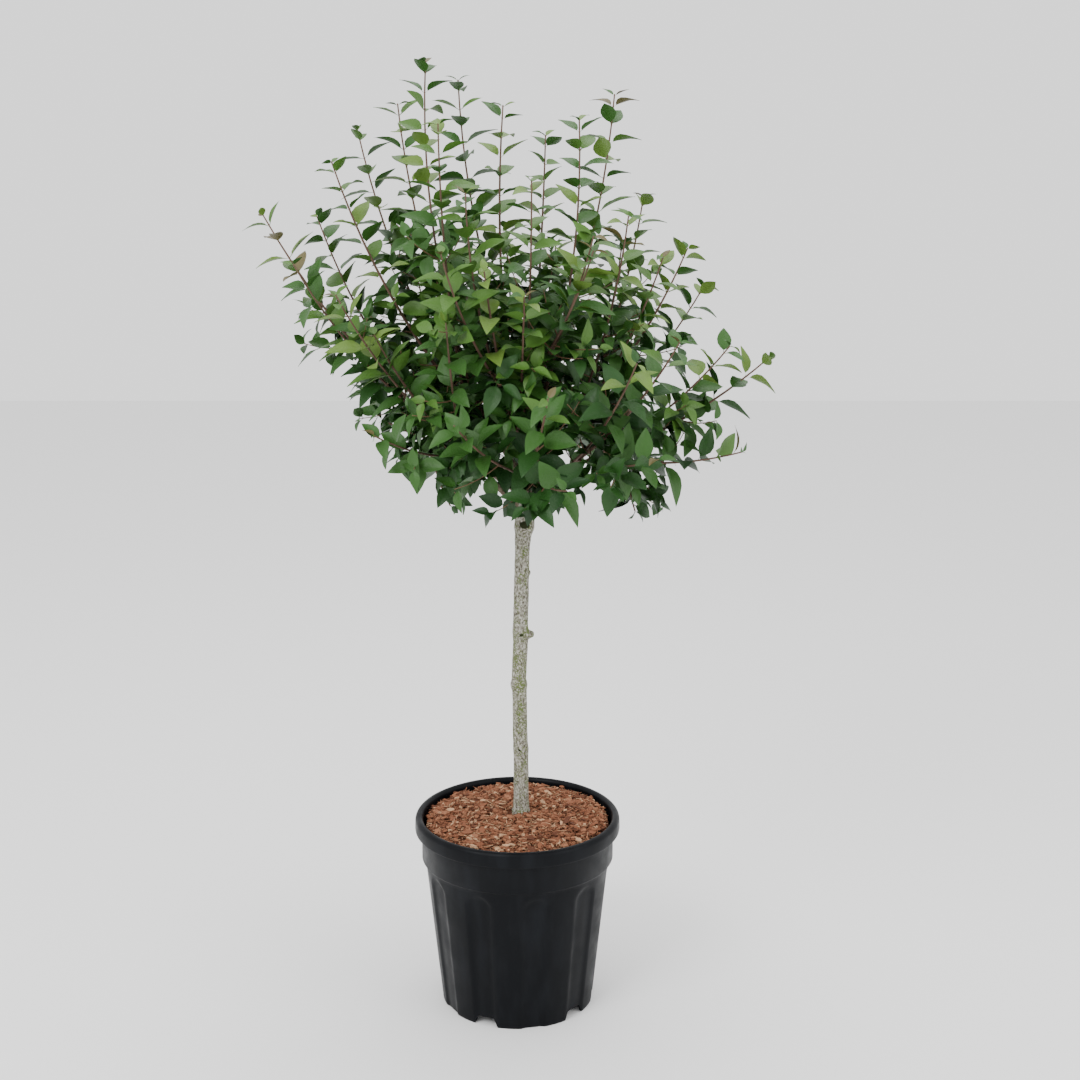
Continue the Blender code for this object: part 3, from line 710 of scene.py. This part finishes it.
def make_crown():
    ends = [(trunk_at(z)[0], r) for z, _, r in TRUNK_STATIONS[-8:]]
    limbs = [(a, b, max(r0, r1)) for (a, r0), (b, r1) in zip(ends, ends[1:])]
    paths = {name: bough_path(name, BOUGH_STEPS) for name in MASSES if name != "top"}
    make_boughs(paths)
    for path in paths.values():
        coarse = path[::4]
        limbs += list(zip(coarse, coarse[1:], taper(BOUGH_RADII, coarse)))
    paths["top"] = [trunk_at(z)[0] for z, _, _ in TRUNK_STATIONS[-2:]]
    groups = {name: [] for name in MASSES}
    for tip in [Vector(tip) for tip in SHOOT_TIPS] + fill_tips():
        groups[nearest_mass(tip)].append(tip)
    barks = [
        relief_material("shoot_bark", (0.105, 0.060, 0.040), 0.7, 900, 0.0006),
        relief_material("twig_bark", (0.145, 0.085, 0.045), 0.6, 900, 0.0004),
    ]
    leaf_materials = [
        relief_material(name, colour, 0.48, 260, 0.0012, 0.30) for name, colour in LEAF_COLOURS.items()
    ]
    shapes = [leaf_points(arch) for arch in LEAF_ARCHES]
    total = sum(
        make_mass(name, tips, paths[name], limbs, barks, leaf_materials, shapes)
        for name, tips in groups.items()
    )
    print("leaves", total)


def mulch_height(x, y):
    """The domed top of the mulch, uneven by a few millimetres."""
    off = min(math.hypot(x, y) / (COLLAR_RADIUS - RIM_WALL), 1)
    dome = POT_HEIGHT - SOIL_EDGE_DEPTH + SOIL_DOME * math.cos(math.pi / 2 * off) ** 0.8
    return dome + 0.003 * noise.noise(Vector((x * 45, y * 45, 3)))


def make_mulch_bed(material):
    """The fine stuff between the chips, down to the pot's inner wall."""
    verts = []
    for i in range(MULCH_RINGS):
        radius = MULCH_RADIUS * (i + 0.5) / (MULCH_RINGS - 0.5)
        for j in range(MULCH_SIDES):
            bearing = math.tau * j / MULCH_SIDES
            x = radius * math.cos(bearing)
            y = radius * math.sin(bearing)
            grain = 0.0025 * noise.noise(Vector((x * 190, y * 190, 7)))
            drop = BED_DROP if i < MULCH_RINGS - 1 else WALL_DROP
            verts.append((x, y, mulch_height(x, y) - drop + grain))
    verts.append((0, 0, mulch_height(0, 0) - BED_DROP))
    middle = len(verts) - 1
    faces = grid_faces(MULCH_RINGS, MULCH_SIDES)
    faces += [((j + 1) % MULCH_SIDES, j, middle) for j in range(MULCH_SIDES)]
    place("mulch_bed", verts, faces, None, [material], ["soil"], "bark_mulch")


def chip_points(chance, length, width, thickness):
    """A torn flake of bark: an uneven six-sided plate, bent along its length."""
    outline = [(-0.5, -0.25), (-0.15, -0.5), (0.4, -0.4), (0.5, 0.15), (0.1, 0.5), (-0.42, 0.36)]
    bend = chance.uniform(-0.25, 0.25)
    points = []
    for side in (-1, 1):
        for x, y in outline:
            px = x * chance.uniform(0.75, 1.15)
            py = y * chance.uniform(0.7, 1.2)
            lift = bend * length * px * px + side * thickness / 2 * chance.uniform(0.6, 1.2)
            points.append(Vector((px * length, py * width, lift)))
    return points


CHIP_RIM = [(k, (k + 1) % 6, 6 + (k + 1) % 6, 6 + k) for k in range(6)]
CHIP_FACES = [(5, 4, 3, 2, 1, 0), (6, 7, 8, 9, 10, 11)] + CHIP_RIM


def make_chips():
    """Chips and fibres of bark strewn over the bed, clear of the trunk and of the pot's wall."""
    chance = random.Random(SEED + 100)
    verts, faces, kinds = [], [], []
    for k in range(CHIPS + FIBRES):
        fibre = k >= CHIPS
        length = chance.uniform(*FIBRE_LENGTHS) if fibre else chance.triangular(*CHIP_LENGTHS)
        width = chance.uniform(*FIBRE_WIDTHS) if fibre else length * chance.uniform(*CHIP_WIDTHS)
        thickness = width * 0.6 if fibre else chance.uniform(*CHIP_THICKNESS)
        reach = MULCH_RADIUS - length / 2 - 0.001
        off = math.sqrt(chance.uniform(0.017 ** 2, reach ** 2))
        bearing = chance.uniform(0, math.tau)
        x, y = off * math.cos(bearing), off * math.sin(bearing)
        height = mulch_height(x, y) + chance.uniform(-0.004, 0.0035)
        spin = Matrix.Rotation(chance.uniform(0, math.tau), 4, "Z")
        tilt = Matrix.Rotation(chance.gauss(0, 0.30), 4, "X") @ Matrix.Rotation(chance.gauss(0, 0.22), 4, "Y")
        turn = Matrix.Translation((x, y, height)) @ spin @ tilt
        start = len(verts)
        verts += [turn @ point for point in chip_points(chance, length, width, thickness)]
        faces += [tuple(start + corner for corner in face) for face in CHIP_FACES]
        kinds += [chance.choice(FIBRE_KINDS if fibre else CHIP_KINDS)] * len(CHIP_FACES)
    materials = [
        relief_material(name, colour, 0.92, 420, 0.0015, 0.15) for name, colour in MULCH_COLOURS.items()
    ]
    chips = place("mulch_chips", verts, faces, kinds, materials, ["soil"], "bark_mulch")
    chips.data.shade_flat()
    make_mulch_bed(relief_material("bark_fines", (0.085, 0.034, 0.019), 0.95, 300, 0.003, 0.1))


def body_radius(height):
    return blend((FOOT_RADIUS, BODY_TOP_RADIUS), height / COLLAR_BOTTOM)


def arc(centre, radii, start, end, count):
    turns = [math.radians(start + (end - start) * k / count) for k in range(count + 1)]
    return [(centre[0] + radii[0] * math.cos(a), centre[1] + radii[1] * math.sin(a)) for a in turns]


def pot_profile():
    """From the middle of the inside, up the wall, over the rolled rim, down the side to the underside."""
    lip = POT_HEIGHT - RIM_CURVE
    inner = COLLAR_RADIUS - RIM_WALL
    fold = RIM_RADIUS - RIM_WALL
    side = [blend((COLLAR_BOTTOM - 0.005, 0.0015), k / SIDE_ROWS) for k in range(SIDE_ROWS + 1)]
    return [
        (0.001, FLOOR_HEIGHT + 0.003),
        (body_radius(FLOOR_HEIGHT) - BODY_WALL, FLOOR_HEIGHT + 0.003),
        (body_radius(0.244) - BODY_WALL, 0.244),
        (inner, 0.252),
        *arc((inner + 0.005, lip), (0.005, RIM_CURVE), 180, 90, 6),
        *arc((RIM_RADIUS - 0.007, lip), (0.007, RIM_CURVE), 90, 0, 8),
        (RIM_RADIUS + 0.0004, POT_HEIGHT - RIM_DROP + 0.004),
        *arc((RIM_RADIUS - 0.0012, POT_HEIGHT - RIM_DROP + 0.0012), (0.0012, 0.0012), 0, -180, 6),
        (fold, lip - 0.001),
        (COLLAR_RADIUS + 0.003, lip + 0.004),
        (COLLAR_RADIUS, lip - 0.002),
        (COLLAR_RADIUS, COLLAR_BOTTOM + 0.0015),
        (COLLAR_RADIUS - 0.001, COLLAR_BOTTOM),
        (body_radius(COLLAR_BOTTOM) + 0.001, COLLAR_BOTTOM - 0.0015),
        *[(body_radius(height), height) for height in side],
        (FOOT_RADIUS - 0.001, 0),
        (FOOT_RADIUS - BODY_WALL, 0),
        (FOOT_RADIUS - BODY_WALL, FLOOR_HEIGHT),
        (0.028, FLOOR_HEIGHT),
        (0.026, 0),
        (0.001, 0),
    ]


def flute_depth(bearing, height):
    """How far the side is pressed in: an arch-topped hollow every tenth of a turn."""
    turn = math.tau / FLUTES
    off = (bearing - FLUTE_START + turn / 2) % turn - turn / 2
    across = off / FLUTE_HALF_ANGLE
    below_arch = FLUTE_TOP - FLUTE_ARCH * across ** 2 - height
    if abs(across) >= 1 or below_arch <= 0:
        return 0.0
    ease = min(1.0, below_arch / FLUTE_FADE)
    return FLUTE_DEPTH * (1 - across ** 4) * ease * ease * (3 - 2 * ease)


def make_pot():
    profile = pot_profile()
    verts = []
    for radius, height in profile:
        outer = abs(radius - body_radius(height)) < BODY_WALL / 2 and height < COLLAR_BOTTOM - 0.004
        for j in range(POT_SIDES):
            bearing = math.tau * j / POT_SIDES
            here = radius - flute_depth(bearing, height) if outer else radius
            verts.append((here * math.cos(bearing), here * math.sin(bearing), height))
    faces = grid_faces(len(profile), POT_SIDES)
    first = list(range(POT_SIDES))
    last = [(len(profile) - 1) * POT_SIDES + j for j in range(POT_SIDES)]
    faces += [tuple(reversed(first)), tuple(last)]
    pot = place("pot_shell", verts, faces, None, [pot_plastic()], ["pot"], "pot_plastic")
    body = bmesh.new()
    body.from_mesh(pot.data)
    bmesh.ops.recalc_face_normals(body, faces=body.faces)
    body.to_mesh(pot.data)
    body.free()
    cutters = bpy.data.collections.new("notch_cutters")
    for k in range(NOTCHES):
        notch_cutter(NOTCH_START + math.tau * k / NOTCHES, cutters)
    cut = pot.modifiers.new("notches", "BOOLEAN")
    cut.operation = "DIFFERENCE"
    cut.operand_type = "COLLECTION"
    cut.collection = cutters
    bpy.context.scene.collection.children.link(cutters)
    graph = bpy.context.evaluated_depsgraph_get()
    pot.data = bpy.data.meshes.new_from_object(pot.evaluated_get(graph))
    pot.modifiers.clear()
    for item in list(cutters.objects):
        bpy.data.objects.remove(item)
    bpy.data.collections.remove(cutters)
    pot.data.set_sharp_from_angle(angle=math.radians(40))


def notch_cutter(bearing, collection):
    """A wedge, wide at the floor, that goes through the foot's wall."""
    body = bmesh.new()
    side = math.sqrt(2)
    bmesh.ops.create_cone(body, cap_ends=True, segments=4, radius1=side / 2,
                          radius2=side / 2 * NOTCH_TAPER, depth=1)
    bmesh.ops.rotate(body, verts=body.verts, matrix=Matrix.Rotation(math.pi / 4, 3, "Z"))
    size = Matrix.Diagonal((BODY_WALL * 6, NOTCH_WIDTH, NOTCH_HEIGHT * 1.2, 1))
    shift = Matrix.Translation((FOOT_RADIUS - BODY_WALL / 2, 0, NOTCH_HEIGHT * 0.4))
    bmesh.ops.transform(body, verts=body.verts, matrix=Matrix.Rotation(bearing, 4, "Z") @ shift @ size)
    mesh = bpy.data.meshes.new("notch_cutter")
    body.to_mesh(mesh)
    body.free()
    collection.objects.link(bpy.data.objects.new("notch_cutter", mesh))


def make_floor():
    mesh = bpy.data.meshes.new("floor")
    mesh.from_pydata([(-6, -6, 0), (6, -6, 0), (6, 6, 0), (-6, 6, 0)], [], [(0, 1, 2, 3)])
    mesh.materials.append(relief_material("floor", (0.86, 0.86, 0.86), 0.9, 40, 0.0002, 0.1))
    floor = bpy.data.objects.new("floor", mesh)
    bpy.context.scene.collection.objects.link(floor)


def add_light(name, spot, size, power):
    """A soft square light that faces the crown's middle."""
    light = bpy.data.lights.new(name, "AREA")
    light.size = size
    light.energy = power
    lamp = bpy.data.objects.new(name, light)
    lamp.location = spot
    lamp.rotation_euler = (Vector(spot) - Vector((0, 0, 0.8))).to_track_quat("Z", "Y").to_euler()
    bpy.context.scene.collection.objects.link(lamp)


def make_studio():
    make_floor()
    world = bpy.data.worlds.new("studio")
    world.use_nodes = True
    backdrop = world.node_tree.nodes["Background"]
    backdrop.inputs["Color"].default_value = (1, 1, 1, 1)
    backdrop.inputs["Strength"].default_value = 1.5
    bpy.context.scene.world = world
    add_light("key", (-1.8, -2.4, 3.0), 1.6, 90)
    add_light("fill", (2.6, -1.6, 1.8), 1.8, 28)
    add_light("top", (0.2, 0.8, 3.4), 2.0, 40)
    camera = bpy.data.objects.new("camera", bpy.data.cameras.new("camera"))
    camera.data.lens = CAMERA_LENS
    camera.data.sensor_width = 36
    camera.location = CAMERA_PLACE
    camera.rotation_euler = (math.radians(90 - CAMERA_PITCH), 0, 0)
    bpy.context.scene.collection.objects.link(camera)
    bpy.context.scene.camera = camera


make_trunk()
make_crown()
make_chips()
make_pot()
make_studio()
